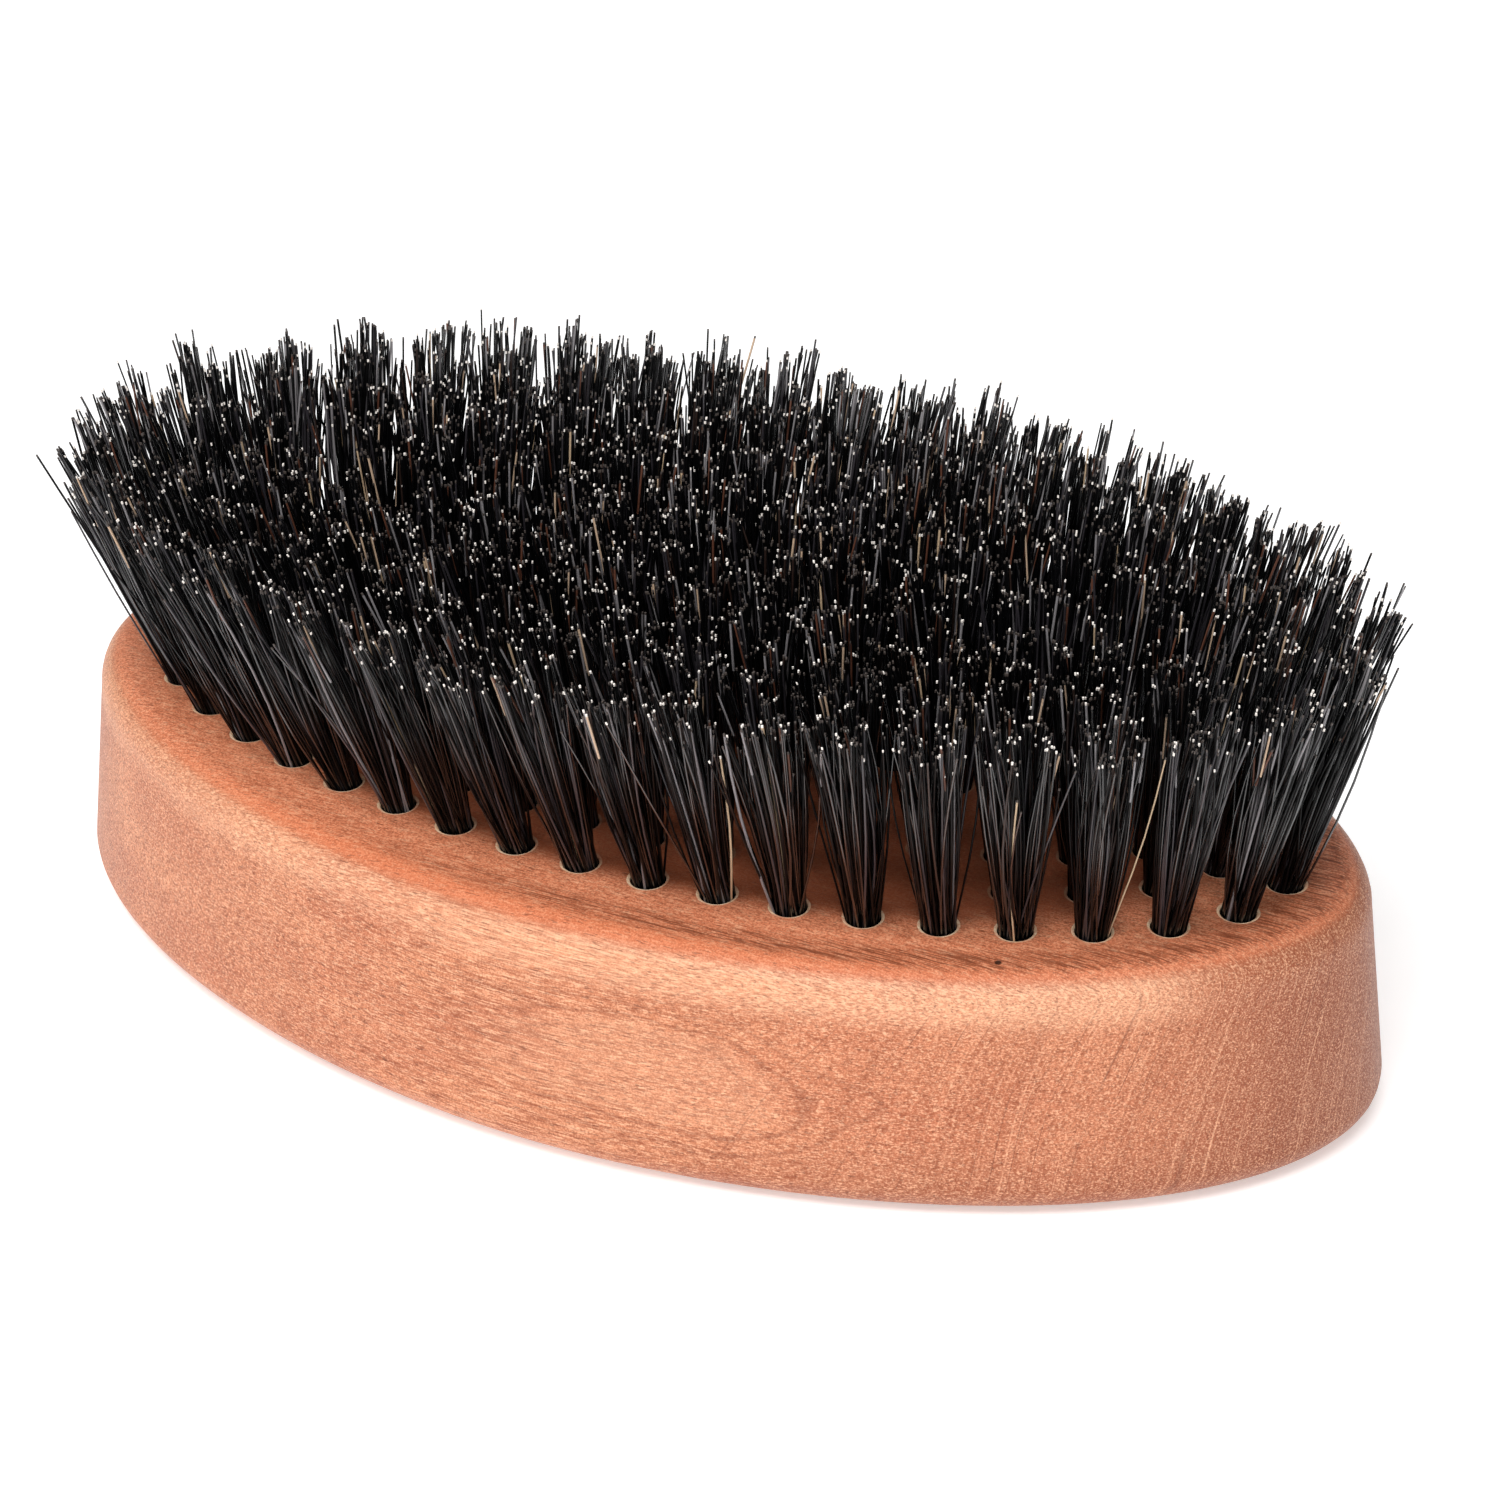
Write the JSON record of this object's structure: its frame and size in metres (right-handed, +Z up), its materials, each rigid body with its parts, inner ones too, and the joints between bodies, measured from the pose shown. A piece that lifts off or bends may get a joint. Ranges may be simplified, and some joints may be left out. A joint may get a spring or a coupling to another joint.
{
  "type": "beard brush",
  "caption": "Handleless oval beard brush: a thick wooden block held in the palm, drilled with rows of black boar bristle tufts that fan outwards.",
  "frame": {"origin": "centre of the overall box at the height of the block's flat back, which is the surface the brush rests on", "axes": "+X along the long side of the oval, +Y across it, +Z up from the back of the block towards the bristle tips"},
  "size_m": [0.12, 0.0666, 0.0416],
  "materials": {
    "pear_wood": "satin oiled pear wood with fine pores and faint wavy grain",
    "boar_bristle": "glossy natural black boar bristle with a few brown and white hairs",
    "anchor_wire": "drawn flat wire"
  },
  "bodies": {
    "root": {"axis_tuft_1": "boar_bristle", "axis_tuft_2": "boar_bristle", "axis_tuft_3": "boar_bristle", "axis_tuft_4": "boar_bristle", "axis_tuft_5": "boar_bristle", "axis_tuft_6": "boar_bristle", "axis_tuft_7": "boar_bristle", "fourth_row_back_tufts": "boar_bristle", "fourth_row_front_tufts": "boar_bristle", "outer_tuft_01": "boar_bristle", "outer_tuft_02": "boar_bristle", "outer_tuft_03": "boar_bristle", "outer_tuft_04": "boar_bristle", "outer_tuft_05": "boar_bristle", "outer_tuft_06": "boar_bristle", "outer_tuft_07": "boar_bristle", "outer_tuft_08": "boar_bristle", "outer_tuft_09": "boar_bristle", "outer_tuft_10": "boar_bristle", "outer_tuft_11": "boar_bristle", "outer_tuft_12": "boar_bristle", "outer_tuft_13": "boar_bristle", "outer_tuft_14": "boar_bristle", "outer_tuft_15": "boar_bristle", "outer_tuft_16": "boar_bristle", "outer_tuft_17": "boar_bristle", "outer_tuft_18": "boar_bristle", "outer_tuft_19": "boar_bristle", "outer_tuft_20": "boar_bristle", "outer_tuft_21": "boar_bristle", "outer_tuft_22": "boar_bristle", "outer_tuft_23": "boar_bristle", "outer_tuft_24": "boar_bristle", "outer_tuft_25": "boar_bristle", "outer_tuft_26": "boar_bristle", "outer_tuft_27": "boar_bristle", "outer_tuft_28": "boar_bristle", "outer_tuft_29": "boar_bristle", "outer_tuft_30": "boar_bristle", "outer_tuft_31": "boar_bristle", "outer_tuft_32": "boar_bristle", "outer_tuft_33": "boar_bristle", "outer_tuft_34": "boar_bristle", "outer_tuft_35": "boar_bristle", "outer_tuft_36": "boar_bristle", "outer_tuft_37": "boar_bristle", "outer_tuft_38": "boar_bristle", "outer_tuft_39": "boar_bristle", "outer_tuft_40": "boar_bristle", "second_row_back_tufts": "boar_bristle", "second_row_front_tufts": "boar_bristle", "second_row_left_end_tuft": "boar_bristle", "second_row_right_end_tuft": "boar_bristle", "third_row_back_tufts": "boar_bristle", "third_row_front_tufts": "boar_bristle", "third_row_left_end_tuft": "boar_bristle", "third_row_right_end_tuft": "boar_bristle", "wooden_block": "pear_wood"}
  },
  "joints": []
}
